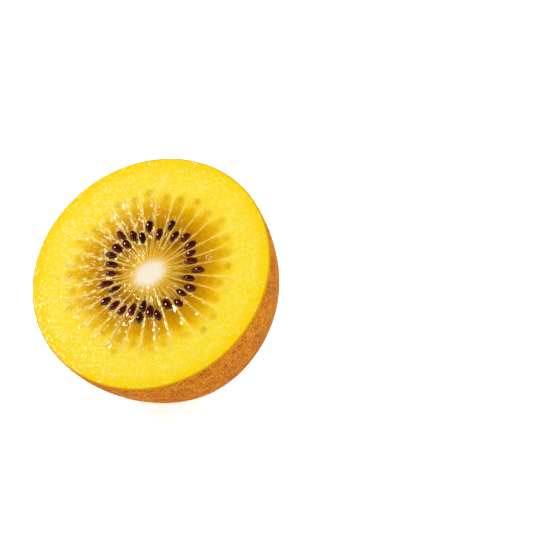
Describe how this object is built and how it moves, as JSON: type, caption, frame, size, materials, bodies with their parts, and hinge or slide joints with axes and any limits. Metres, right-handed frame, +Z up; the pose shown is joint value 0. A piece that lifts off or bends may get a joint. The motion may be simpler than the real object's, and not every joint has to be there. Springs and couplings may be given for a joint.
{
  "type": "golden kiwi fruit half",
  "caption": "Half of a ripe golden kiwi fruit, cut across and lying on its curved skin, with yellow flesh, a pale core, radiating walls and a ring of dark seeds.",
  "frame": {"origin": "centre of the small flat spot on the skin that the half rests on", "axes": "+Z up; the cut face leans 41 degrees from level and looks up and towards -Y; the stem end points down and towards +Y"},
  "size_m": [0.0524, 0.05, 0.0483],
  "materials": {
    "flesh": "satin",
    "skin": "matte",
    "seed": "gloss",
    "fuzz": "matte",
    "juice": "gloss"
  },
  "bodies": {
    "root": {"kiwi_half": "flesh"}
  },
  "joints": []
}
